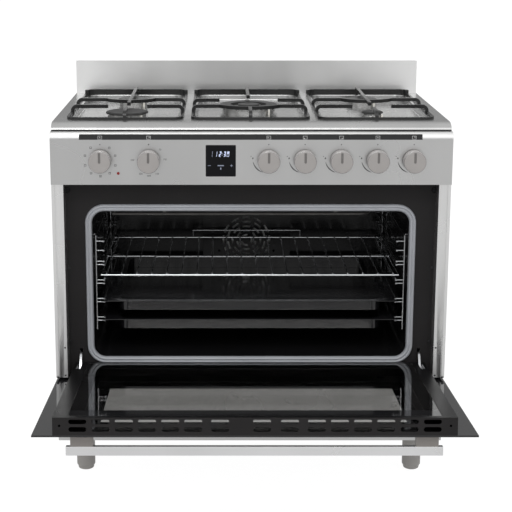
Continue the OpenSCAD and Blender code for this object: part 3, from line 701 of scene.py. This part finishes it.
def digit_outlines(figure, x, y, w, h, line, lean=0.14):
    """Slanted seven-segment figure whose lower left corner is at (x, y)."""
    mid, gap = h / 2, line * 0.25
    left, right = gap + line / 2, w - gap - line / 2
    bars = {
        "a": rect(left, right, h - line, h), "d": rect(left, right, 0, line),
        "g": rect(left, right, mid - line / 2, mid + line / 2),
        "f": rect(0, line, mid + gap, h - gap), "b": rect(w - line, w, mid + gap, h - gap),
        "e": rect(0, line, gap, mid - gap), "c": rect(w - line, w, gap, mid - gap),
    }
    return [[(x + a + b * lean, y + b) for a, b in bars[s]] for s in SEGMENTS[figure]]


def front_of(y):
    """Flat outlines in X and Z laid upright at a distance behind the panel's face."""
    return Matrix.Translation(Vector((0, PANEL_Y + y * MM, 0))) @ UPRIGHT


class RANGE_OT_control_panel(Maker, bpy.types.Operator):
    """Folded control panel with its black strip, printed marks and indicator lamp"""
    bl_idname = "range_maker.control_panel"
    bl_label = "Control panel"

    def make(self, m):
        panel = cad_copy("control_panel", "control_panel_sheet", 0.0008, 3)
        hand_over(panel, "root", m["steel"], ("control_panel",))
        self.strip()
        self.marks()
        lens = lathe("red_lens", [(0, -0.0019), (0.0012, -0.0018), (0.0023, -0.0014), (0.0029, -0.0007),
                                  (0.0031, 0.0001), (0, 0.0001)], at(-298, 0, 756), 32)
        hand_over(smooth(lens, 60), "root", m["red"])
        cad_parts["indicator_lamp"].material_slots[0].material = m["red"]

    def knob_places(self):
        names = ["function_knob", "thermostat_knob"] + [f"gas_knob_{i}" for i in GAS_TAPS]
        return [(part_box(n)[0].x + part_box(n)[1].x) / 2 / MM for n in names]

    def strip(self):
        """Black strip that follows the leaning band, with a small square mark above each knob."""
        band = [(0.0, 831.8), (2.0, 841.0), (4.3, 843.8)]
        proud = 0.16
        x0, x1 = -384.6, 381.0
        vertices, faces = [], []
        for x in (x0, x1):
            for y, z in band:
                vertices.append(at(x, y + 0.3, z))
                vertices.append(at(x, y - proud, z + proud * 0.4))
        for k in range(2):
            a, b = 2 * k, 2 * k + 6
            faces += [(a + 1, b + 1, b + 3, a + 3), (a, a + 2, b + 2, b)]
            faces += [(a, a + 1, a + 3, a + 2), (b, b + 2, b + 3, b + 1)]
        faces += [(0, 6, 7, 1), (4, 5, 11, 10)]
        mesh = bpy.data.meshes.new("icon_strip")
        mesh.from_pydata(vertices, [], faces)
        strip = bpy.data.objects.new("icon_strip", mesh)
        bpy.context.scene.collection.objects.link(strip)
        face_out(strip)
        hand_over(strip, "root", MATERIALS["strip"])
        spots = [(0, 0), (1.4, 0.9), (-1.4, 0), (-1.4, -1.6), (1.4, -1.6), (0, 0), (1.4, 1.2)]
        outlines = []
        for x, (dx, dy) in zip(self.knob_places(), spots):
            outlines += box_mark(x, 0, 9.4, 7.6, 0.75) + [disc(x + dx, dy, 1.1, 10)]
        tilt = math.atan2(2.0, 9.2)
        middle = at(0, 1.0 - proud - 0.06, 836.7)
        place = Matrix.Translation(middle) @ Matrix.Rotation(-tilt, 4, "X") @ UPRIGHT
        icons = flat_shape("strip_icons", outlines, 0.00012, place)
        hand_over(icons, "root", MATERIALS["pale_ink"])

    def marks(self):
        """Marks printed round the knobs."""
        places = self.knob_places()
        z = KNOB_Z / MM
        dark = []
        for x in places[:1] + places[2:]:
            dark.append(disc(x, z + 36, 1.25, 12))
        dark.append(disc(places[1], z + 36, 1.5, 14))
        for k in range(1, 10):
            a = math.radians(36 * k)
            x, y = places[0] + 35.5 * math.sin(a), z + 35.5 * math.cos(a)
            dark += box_mark(x, y, 4.8, 4.8, 0.75)
            if k % 3 == 0:
                dark.append(rect(x - 1.2, x + 1.2, y - 1.3, y - 0.8))
            elif k % 3 == 1:
                dark.append(rect(x - 1.2, x + 1.2, y + 0.8, y + 1.3))
            else:
                dark.append(disc(x, y, 0.8, 8))
        for x in places[2:]:
            dark += self.flame_marks(x, z)
        print_marks = flat_shape("panel_marks", dark, 0.00016, front_of(-0.04))
        numbers = []
        for text, turn in (("50", 45), ("100", 86), ("150", 150), ("200", 180), ("220", 210), ("250", 272)):
            a = math.radians(turn)
            numbers.append(self.number(text, places[1] + 36.5 * math.sin(a), z + 35 * math.cos(a)))
        hand_over(join("panel_marks", [print_marks] + numbers), "root", MATERIALS["ink"])

    def number(self, text, x, z):
        bpy.ops.object.select_all(action="DESELECT")
        bpy.ops.object.text_add()
        label = bpy.context.object
        label.data.body = text
        label.data.size = 0.0056
        label.data.extrude = 0.00008
        label.data.align_x, label.data.align_y = "CENTER", "CENTER"
        label.data.resolution_u = 3
        bpy.ops.object.convert(target="MESH")
        label = bpy.context.object
        label.matrix_world = Matrix.Translation(at(x, -0.04, z)) @ UPRIGHT
        return merge(settle(label), 1e-6)

    def flame_marks(self, x, z):
        """Curved wedge that shows low to high, with a small flame and a spark."""
        outer, inner = [], []
        for k in range(25):
            t = k / 24
            a = math.radians(264 - 58 * t)
            r = 34.8 - 5.2 * t
            w = 0.6 + 1.7 * math.sin(math.pi * t) ** 0.8
            outer.append((x + (r + w / 2) * math.sin(a), z + (r + w / 2) * math.cos(a)))
            inner.append((x + (r - w / 2) * math.sin(a), z + (r - w / 2) * math.cos(a)))
        flame = [(0, 2.6), (0.9, 1.2), (1.6, -0.2), (1.2, -1.6), (0, -2.3), (-1.2, -1.6), (-1.5, -0.3),
                 (-0.6, 0.7)]
        spark = [(1.5 * (1 if k % 2 == 0 else 0.45) * math.cos(math.pi * k / 4),
                  1.5 * (1 if k % 2 == 0 else 0.45) * math.sin(math.pi * k / 4)) for k in range(8)]
        return [outer + inner[::-1], moved(flame, x - 35.5, z + 5.2), moved(spark, x - 39.5, z + 9.3)]


class RANGE_OT_clock(Maker, bpy.types.Operator):
    """Black clock display with glowing digits"""
    bl_idname = "range_maker.clock"
    bl_label = "Clock"

    def make(self, m):
        hand_over(cad_copy("clock_display", "clock_face", 0.0005), "root", m["black_gloss"],
                  ("clock_display",))
        border = [round_rect(68.4, 72.4, 2.6), round_rect(66.2, 70.2, 2.0)]
        border = [moved(o, CLOCK_X, CLOCK_Z) for o in border]
        border = flat_shape("clock_border", border, 0.0009, front_of(-0.4))
        hand_over(smooth(border), "root", m["rim"])
        h = sizes().digit_height / MM
        w, line, x, z = h * 0.43, h * 0.085, -80.4, 793.8
        figures = []
        for figure, step in (("1", 0), ("2", 7.2), ("3", 17.2), ("0", 24.8)):
            figures += digit_outlines(figure, x + step - (2.4 if figure == "1" else 0), z, w, h, line)
        figures += [disc(x + 15.0, z + h * 0.32, 0.7, 10), disc(x + 15.6, z + h * 0.68, 0.7, 10)]
        face = front_of(-1.55)
        hand_over(flat_shape("clock_digits", figures, 0.00014, face), "root", m["digits"])
        drop = [(0, 4), (1.5, 0.8), (1.2, -1.4), (0, -2.2), (-1.2, -1.4), (-1.5, 0.8)]
        # minus, the two strokes of plus, a short bar, a drop, and two upright strokes beside the digits
        marks = [rect(-97.5, -90.5, 773.2, 774.2), rect(-47.6, -41.6, 773.2, 774.2),
                 rect(-45.1, -44.1, 770.7, 776.7), rect(-75.5, -61.5, 772.6, 774.9),
                 moved(drop, CLOCK_X, 766.4), rect(-88.2, -87.2, 793.5, 799), rect(-87.6, -86.6, 800, 806)]
        hand_over(flat_shape("clock_marks", marks, 0.00014, face), "root", m["faint"])


class RANGE_OT_knobs(Maker, bpy.types.Operator):
    """Seven round knobs, each with a bright rim and an indicator groove"""
    bl_idname = "range_maker.knobs"
    bl_label = "Knobs"

    def make(self, m):
        r = (KNOB_HIGH.x - KNOB_LOW.x) / 2
        front, back = KNOB_LOW.y, KNOB_HIGH.y
        depth, edge = back - front, sizes().knob_edge
        profile = [(0, depth), (r - 0.003, depth), (r - 0.0022, depth - 0.0006),
                   (r - 0.0009, depth - 0.0008), (r - 0.0002, depth - 0.0016),
                   (r - 0.0001, depth * 0.5), (r - 0.0004, edge * 1.5)]
        profile += [(r - 0.0004 - edge * (1 - math.cos(a)), edge * (1 - math.sin(a)) + 0.0001)
                    for a in (math.radians(d) for d in (20, 45, 70, 90))]
        profile += [(r - edge - 0.0012, 0.0001), (r - edge - 0.0015, 0.0004), (r - edge - 0.0021, 0.0004),
                    (r - edge - 0.0026, 0.0001), (0, 0.0001)]
        origin = Vector((0, front, 0))
        shape = lathe("knob_shape", profile, origin, sizes().knob_sides)
        groove = sizes().groove / 2
        cutter = flat_shape("groove_cutter", [self.pointer(groove / MM, -2.5, r / MM - 4.2)], 0.0022,
                            Matrix.Translation(origin) @ UPRIGHT)
        round_edges(cutter, 0.0004, 2)
        pick(shape)
        apply(shape, "BOOLEAN", operation="DIFFERENCE", object=cutter, solver="EXACT")
        bpy.data.objects.remove(cutter)
        # the bore is deep enough for a gas knob's push
        end, bore_r, past = 0.0065, 0.0031, depth + 0.001
        bore = lathe("bore_cutter", [(0, end), (bore_r, end), (bore_r, past), (0, past)], origin, 32)
        apply(shape, "BOOLEAN", operation="DIFFERENCE", object=bore, solver="EXACT")
        bpy.data.objects.remove(bore)
        bodies = {"function_knob": "function_control", "thermostat_knob": "thermostat_control"}
        bodies.update({f"gas_knob_{i}": f"gas_control_{i}" for i in GAS_TAPS})
        for node, body in bodies.items():
            low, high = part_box(node)
            knob = bpy.data.objects.new(node + "_cap", shape.data.copy())
            bpy.context.scene.collection.objects.link(knob)
            rename(knob, node + "_cap")
            knob.location = ((low.x + high.x) / 2, 0, (low.z + high.z) / 2)
            settle(knob)
            paint(knob, MATERIALS["knob"], MATERIALS["rim"], MATERIALS["groove"])
            # the rounded front edge is bare bright metal; the groove's faces take a darker copy of the knob
            # grey, painted shade in the recess
            for face in knob.data.polygons:
                from_axis = math.hypot(face.center.x - (low.x + high.x) / 2, face.center.z - KNOB_Z)
                if from_axis > r - 0.0019 and front + 0.00002 < face.center.y < front + edge * 1.3:
                    face.material_index = 1
                elif from_axis < r - 0.0035 and front + 0.0003 < face.center.y < front + 0.0015:
                    face.material_index = 2
            smooth(knob, 28)
            hand_over(knob, body, None, (node,))
        bpy.data.objects.remove(shape)

    def pointer(self, half, low, high, steps=8):
        """Upright groove with a round lower end, in millimetres."""
        out = [(half, high), (-half, high)]
        for k in range(steps + 1):
            a = math.pi + math.pi * k / steps
            out.append((half * math.cos(a), low + half + half * math.sin(a)))
        return out


# ---------- hob ----------

# middles of the burners in millimetres, and a reach that takes in each one's hole
BURNERS = ((-290, 197), (-290, 436), (290, 436), (290, 197), (0, 318))
BURNER_REACH = 0.065


class RANGE_OT_hob(Maker, bpy.types.Operator):
    """Pressed hob top, splashback, burners and igniters"""
    bl_idname = "range_maker.hob"
    bl_label = "Hob"

    def make(self, m):
        self.top()
        # black strip along the back of the hob's nose: a painted shadow standing for the gap below the nose
        shadow_strip = slab("nose_shadow_strip", at(-449.4, 26.6, 848), at(449.4, 27.6, 850.8), 0.0003)
        hand_over(smooth(shadow_strip), "root", m["strip"])
        for node, name, edge, segments, slot, finish in (
            ("splashback", "splashback_sheet", 0.0005, 2, "stainless", "splash"),
            ("burner_cups", "burner_crowns", 0.0003, 2, "burner_alloy", "alloy"),
            ("burner_caps", "burner_lids", 0.0012, 3, "support_black", "cap"),
            ("igniters", "igniter_pins", 0.0006, 2, "ceramic", "ceramic"),
        ):
            hand_over(cad_copy(node, name, edge, segments), "root", m[finish], (node,))

    def top(self):
        """The wells' rims and floors get a wide pressed rounding; the other edges are not rounded."""
        top = cad_copy("hob_top", "hob_sheet")
        mesh = top.data
        weights = mesh.attributes.new("bevel_weight_edge", "FLOAT", "EDGE")
        well_z = HOB_Z - 14 * MM
        normals = {}
        for face in mesh.polygons:
            for key in face.edge_keys:
                normals.setdefault(key, []).append(face.normal.copy())
        for edge in mesh.edges:
            a, b = (mesh.vertices[i].co for i in edge.vertices)
            turned = normals.get(tuple(sorted(edge.vertices)), [])
            sharp = len(turned) == 2 and turned[0].angle(turned[1], 0) > math.radians(60)
            inside = abs((a.x + b.x) / 2) < HALF_W - 0.01 and min(a.y, b.y) > PANEL_Y + 0.09
            rim = abs(a.z - HOB_Z) < 1e-5 and abs(b.z - HOB_Z) < 1e-5
            base = abs(a.z - well_z) < 1e-5 and abs(b.z - well_z) < 1e-5 and self.at_wall(a, b)
            if sharp and inside and max(a.y, b.y) < PANEL_Y + 0.57 and (rim or base):
                weights.data[edge.index].value = 1.0
        apply(top, "BEVEL", width=sizes().well_edge, segments=4, limit_method="WEIGHT",
              use_clamp_overlap=True)
        smooth(top, 32)
        hand_over(top, "root", MATERIALS["hob"], ("hob_top",))

    def at_wall(self, a, b):
        """True for an edge that isn't on a burner's hole."""
        for x, y in BURNERS:
            centre = at(x, y, 0)
            if math.hypot((a.x + b.x) / 2 - centre.x, (a.y + b.y) / 2 - centre.y) < BURNER_REACH:
                return False
        return True


class RANGE_OT_pan_supports(Maker, bpy.types.Operator):
    """Three black enamelled pan supports"""
    bl_idname = "range_maker.pan_supports"
    bl_label = "Pan supports"

    def make(self, m):
        for side in ("left", "centre", "right"):
            piece = cad_copy(side + "_pan_support", side + "_pan_grid", sizes().support_edge, 3, 40, 40)
            hand_over(piece, side + "_support", m["support"], (side + "_pan_support",))


# ---------- oven ----------

class RANGE_OT_oven(Maker, bpy.types.Operator):
    """Oven cavity, front frame, seal, fan cover, elements and lamps"""
    bl_idname = "range_maker.oven"
    bl_label = "Oven"

    def make(self, m):
        for node, name, edge, slot, finish in (
            ("oven_liner", "oven_cavity", 0.0004, "black_enamel", "enamel"),
            ("oven_front_frame", "front_frame_sheet", 0.0004, "black_enamel", "frame"),
            ("frame_screws", "frame_screw_heads", 0.0006, "screw_steel", "screw"),
            ("grill_element", "grill_rod", 0.0, "element_steel", "element"),
            ("bottom_element", "bottom_rod", 0.0, "element_steel", "element"),
            ("oven_lamps", "lamp_covers", 0.0015, "lamp_glass", "lamp_glass"),
            ("left_shelf_ladder", "left_ladder_wires", 0.0, "chrome", "ladder"),
            ("right_shelf_ladder", "right_ladder_wires", 0.0, "chrome", "ladder"),
        ):
            hand_over(cad_copy(node, name, edge), "root", m[finish], (node,))
        hand_over(cad_copy("fan_wheel", "fan_blades", 0.0002), "fan", m["spindle"], ("fan_wheel",))
        profile = [(0, -0.0028), (0.0042, -0.0028), (0.0062, -0.0022), (0.0068, -0.0008), (0.0068, 0), (0, 0)]
        plugs = [lathe("plug", profile, at(x, 50, 708), 32) for x in (-419.4, 419.4)]
        hand_over(smooth(join("frame_plugs", plugs), 50), "root", m["black_gloss"])
        self.seal()
        self.fan_cover()

    def seal(self):
        """Seal with two lips, drawn round the oven's mouth."""
        low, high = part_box("oven_gasket")
        width = 0.016
        w, h = (high.x - low.x) / 2 - width, (high.z - low.z) / 2 - width
        cx, cz, back, r = (low.x + high.x) / 2, (low.z + high.z) / 2, high.y, 0.028
        peak = sizes().seal_peak
        profile = [(0, 0)]
        for k in range(1, 32):
            u = k / 32
            arch = (1 - (2 * u - 1) ** 4) ** 0.5
            groove = 0.28 * math.exp(-((u - 0.52) / 0.1) ** 2)
            profile.append((u * width, peak * arch * (1 - groove)))
        profile.append((width, 0))
        path = []
        for sx, sz, a0 in ((1, 1, 0), (-1, 1, 90), (-1, -1, 180), (1, -1, 270)):
            for k in range(13):
                a = math.radians(a0 + 90 * k / 12)
                path.append((cx + sx * (w - r), cz + sz * (h - r), math.cos(a), math.sin(a)))
        vertices = [(px + (r + u) * ca, back - v, pz + (r + u) * sa)
                    for px, pz, ca, sa in path for u, v in profile]
        n, count = len(profile), len(path)
        faces = []
        for i in range(count):
            here, ahead = i * n, ((i + 1) % count) * n
            for j in range(n):
                side = (j + 1) % n
                faces.append((here + j, ahead + j, ahead + side, here + side))
        mesh = bpy.data.meshes.new("seal_ring")
        mesh.from_pydata(vertices, [], faces)
        ring = bpy.data.objects.new("seal_ring", mesh)
        bpy.context.scene.collection.objects.link(ring)
        smooth(face_out(ring), 50)
        hand_over(ring, "root", MATERIALS["seal"], ("oven_gasket",))

    def fan_cover(self):
        """Raised rear cover with rings of short curved slots."""
        low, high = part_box("fan_cover")
        side = (high.x - low.x) / MM
        outlines = [round_rect(side, side, 20)]
        for ring, (r, count) in enumerate(((14, 3), (25, 6), (37, 8), (49, 10), (61, 12))):
            for k in range(count):
                a = 360 * (k + 0.5 * (ring % 2)) / count
                outlines.append(arc_slot(r, a - 126 / count, a + 126 / count, 4.4))
        for k in range(8):
            a = math.radians(45 * k + 22.5)
            outlines.append(disc(78 * math.cos(a), 78 * math.sin(a), 3.2, 14))
        z = (low.z + high.z) / 2
        sheet = 0.0012
        place = Matrix.Translation((0, low.y + sheet / 2, z)) @ UPRIGHT
        plate = flat_shape("fan_plate", outlines, sheet, place)
        vertices, faces = [], []
        outer = round_rect(side, side, 20)
        inner = round_rect(side - 2.4, side - 2.4, 18.8)
        for ring, depth in ((outer, low.y), (outer, high.y), (inner, high.y), (inner, low.y)):
            vertices += [(x * MM, depth, z + y * MM) for x, y in ring]
        n = len(outer)
        for k in range(n):
            for a in range(4):
                b = (a + 1) % 4
                faces.append((a * n + k, a * n + (k + 1) % n, b * n + (k + 1) % n, b * n + k))
        mesh = bpy.data.meshes.new("fan_wall")
        mesh.from_pydata(vertices, [], faces)
        wall = bpy.data.objects.new("fan_wall", mesh)
        bpy.context.scene.collection.objects.link(wall)
        face_out(wall)
        cover = join("fan_guard", [plate, wall])
        hand_over(smooth(cover), "root", MATERIALS["enamel"], ("fan_cover",))


class RANGE_OT_racks(Maker, bpy.types.Operator):
    """Chrome wire shelf and two enamelled trays"""
    bl_idname = "range_maker.racks"
    bl_label = "Shelf and trays"

    def make(self, m):
        hand_over(cad_copy("wire_shelf", "shelf_grid", 0.0), "shelf", m["chrome"], ("wire_shelf",))
        for node, body in (("upper_tray", "top_tray"), ("lower_tray", "bottom_tray")):
            hand_over(cad_copy(node, node + "_pan", 0.0011, 3), body, m["tray"], (node,))


# ---------- door ----------

def swung(piece):
    """Turns a piece that was modelled on the shut door down to where the door is drawn."""
    piece.matrix_world = DOOR @ piece.matrix_world
    return settle(piece)


class RANGE_OT_door(Maker, bpy.types.Operator):
    """Door frame, two panes, handle and hinges"""
    bl_idname = "range_maker.door"
    bl_label = "Oven door"

    def make(self, m):
        for node, name, edge, body, slot, finish in (
            ("door_frame", "door_frame_sheet", 0.0005, "door", "black_enamel", "frame"),
            ("door_handle", "handle_bar", 0.001, "door", "handle_metal", "handle"),
            ("handle_posts", "handle_blocks", 0.0008, "door", "handle_post_grey", "post"),
            ("hinge_brackets", "hinge_cheeks", 0.0004, "door", "zinc_sheet", "zinc"),
            ("hinge_arms", "hinge_levers", 0.0006, "root", "chrome", "ladder"),
        ):
            hand_over(cad_copy(node, name, edge), body, m[finish], (node,))
        # the door frame's upward faces, the channels along its sides, get a darker and duller enamel than its
        # vent face: painted shade
        sheet = bpy.data.objects["door_frame_sheet"]
        paint(sheet, m["frame"], m["channel"])
        for face in sheet.data.polygons:
            face.material_index = int(face.normal.z > 0.7)
        self.outer_pane()
        self.inner_pane()

    def cut_across(self, pane, *cuts):
        for place, normal in cuts:
            edit(pane, lambda: bpy.ops.mesh.bisect(plane_co=place, plane_no=normal))

    def inner_pane(self):
        """Inner pane: tinted, with a black printed band along its upper edge."""
        pane = slab("inner_pane", at(-377, 37, 290), at(377, 41, 712))
        self.cut_across(pane, (at(0, 0, PRINT_Z), (0, 0, 1)))
        paint(pane, MATERIALS["inner"], MATERIALS["frit"])
        for face in pane.data.polygons:
            if face.center.z > PRINT_Z * MM:
                face.material_index = 1
        round_edges(pane, 0.0006, 2, 60)
        hand_over(swung(smooth(pane)), "door", None, ("door_inner_glass",))

    def outer_pane(self):
        """Outer pane: black print all over but for a clear window."""
        pane = slab("outer_pane", at(-450, 0, 250), at(450, 4, 724))
        self.cut_across(pane, (at(-WINDOW_X, 0, 0), (1, 0, 0)), (at(WINDOW_X, 0, 0), (1, 0, 0)),
                        (at(0, 0, WINDOW_LOW), (0, 0, 1)), (at(0, 0, WINDOW_HIGH), (0, 0, 1)))
        paint(pane, MATERIALS["frit"], MATERIALS["clear"])
        for face in pane.data.polygons:
            c = face.center
            if abs(c.x) < WINDOW_X * MM and WINDOW_LOW * MM < c.z < WINDOW_HIGH * MM:
                face.material_index = 1
        round_edges(pane, 0.0007, 2, 60)
        swung(smooth(pane))
        hand_over(pane, "door", None, ("door_outer_glass",))


class RANGE_OT_inner_works(Maker, bpy.types.Operator):
    """Finishes for the parts inside the range that keep their CAD shape"""
    bl_idname = "range_maker.inner_works"
    bl_label = "Inner works"

    def make(self, m):
        finishes_of = {"oven_insulation": "wool", "fan_motor": "zinc", "oven_switches": "plastic",
                       "gas_manifold": "brass", "function_spindle": "spindle",
                       "thermostat_spindle": "spindle"}
        finishes_of.update({f"gas_spindle_{i}": "spindle" for i in GAS_TAPS})
        for node, finish in finishes_of.items():
            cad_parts[node].material_slots[0].material = m[finish]


class RANGE_PT_panel(bpy.types.Panel):
    bl_label = "Gas range"
    bl_idname = "RANGE_PT_panel"
    bl_space_type = "VIEW_3D"
    bl_region_type = "UI"
    bl_category = "Range"

    def draw(self, context):
        for settings in (context.scene.range_sizes, context.scene.range_finishes):
            column = self.layout.column()
            for key in settings.__annotations__:
                column.prop(settings, key)
        for operator in MAKERS:
            self.layout.operator(operator.bl_idname)


MAKERS = (RANGE_OT_stage, RANGE_OT_body, RANGE_OT_control_panel, RANGE_OT_clock, RANGE_OT_knobs, RANGE_OT_hob,
          RANGE_OT_pan_supports, RANGE_OT_oven, RANGE_OT_racks, RANGE_OT_door, RANGE_OT_inner_works)
CLASSES = (RangeSizes, RangeFinishes) + MAKERS + (RANGE_PT_panel,)


def register():
    for kind in CLASSES:
        bpy.utils.register_class(kind)
    bpy.types.Scene.range_sizes = PointerProperty(type=RangeSizes)
    bpy.types.Scene.range_finishes = PointerProperty(type=RangeFinishes)


def unregister():
    del bpy.types.Scene.range_finishes
    del bpy.types.Scene.range_sizes
    for kind in reversed(CLASSES):
        bpy.utils.unregister_class(kind)


def main():
    register()
    for maker in MAKERS:
        tool, name = maker.bl_idname.split(".")
        getattr(getattr(bpy.ops, tool), name)()


if __name__ == "__main__":
    main()
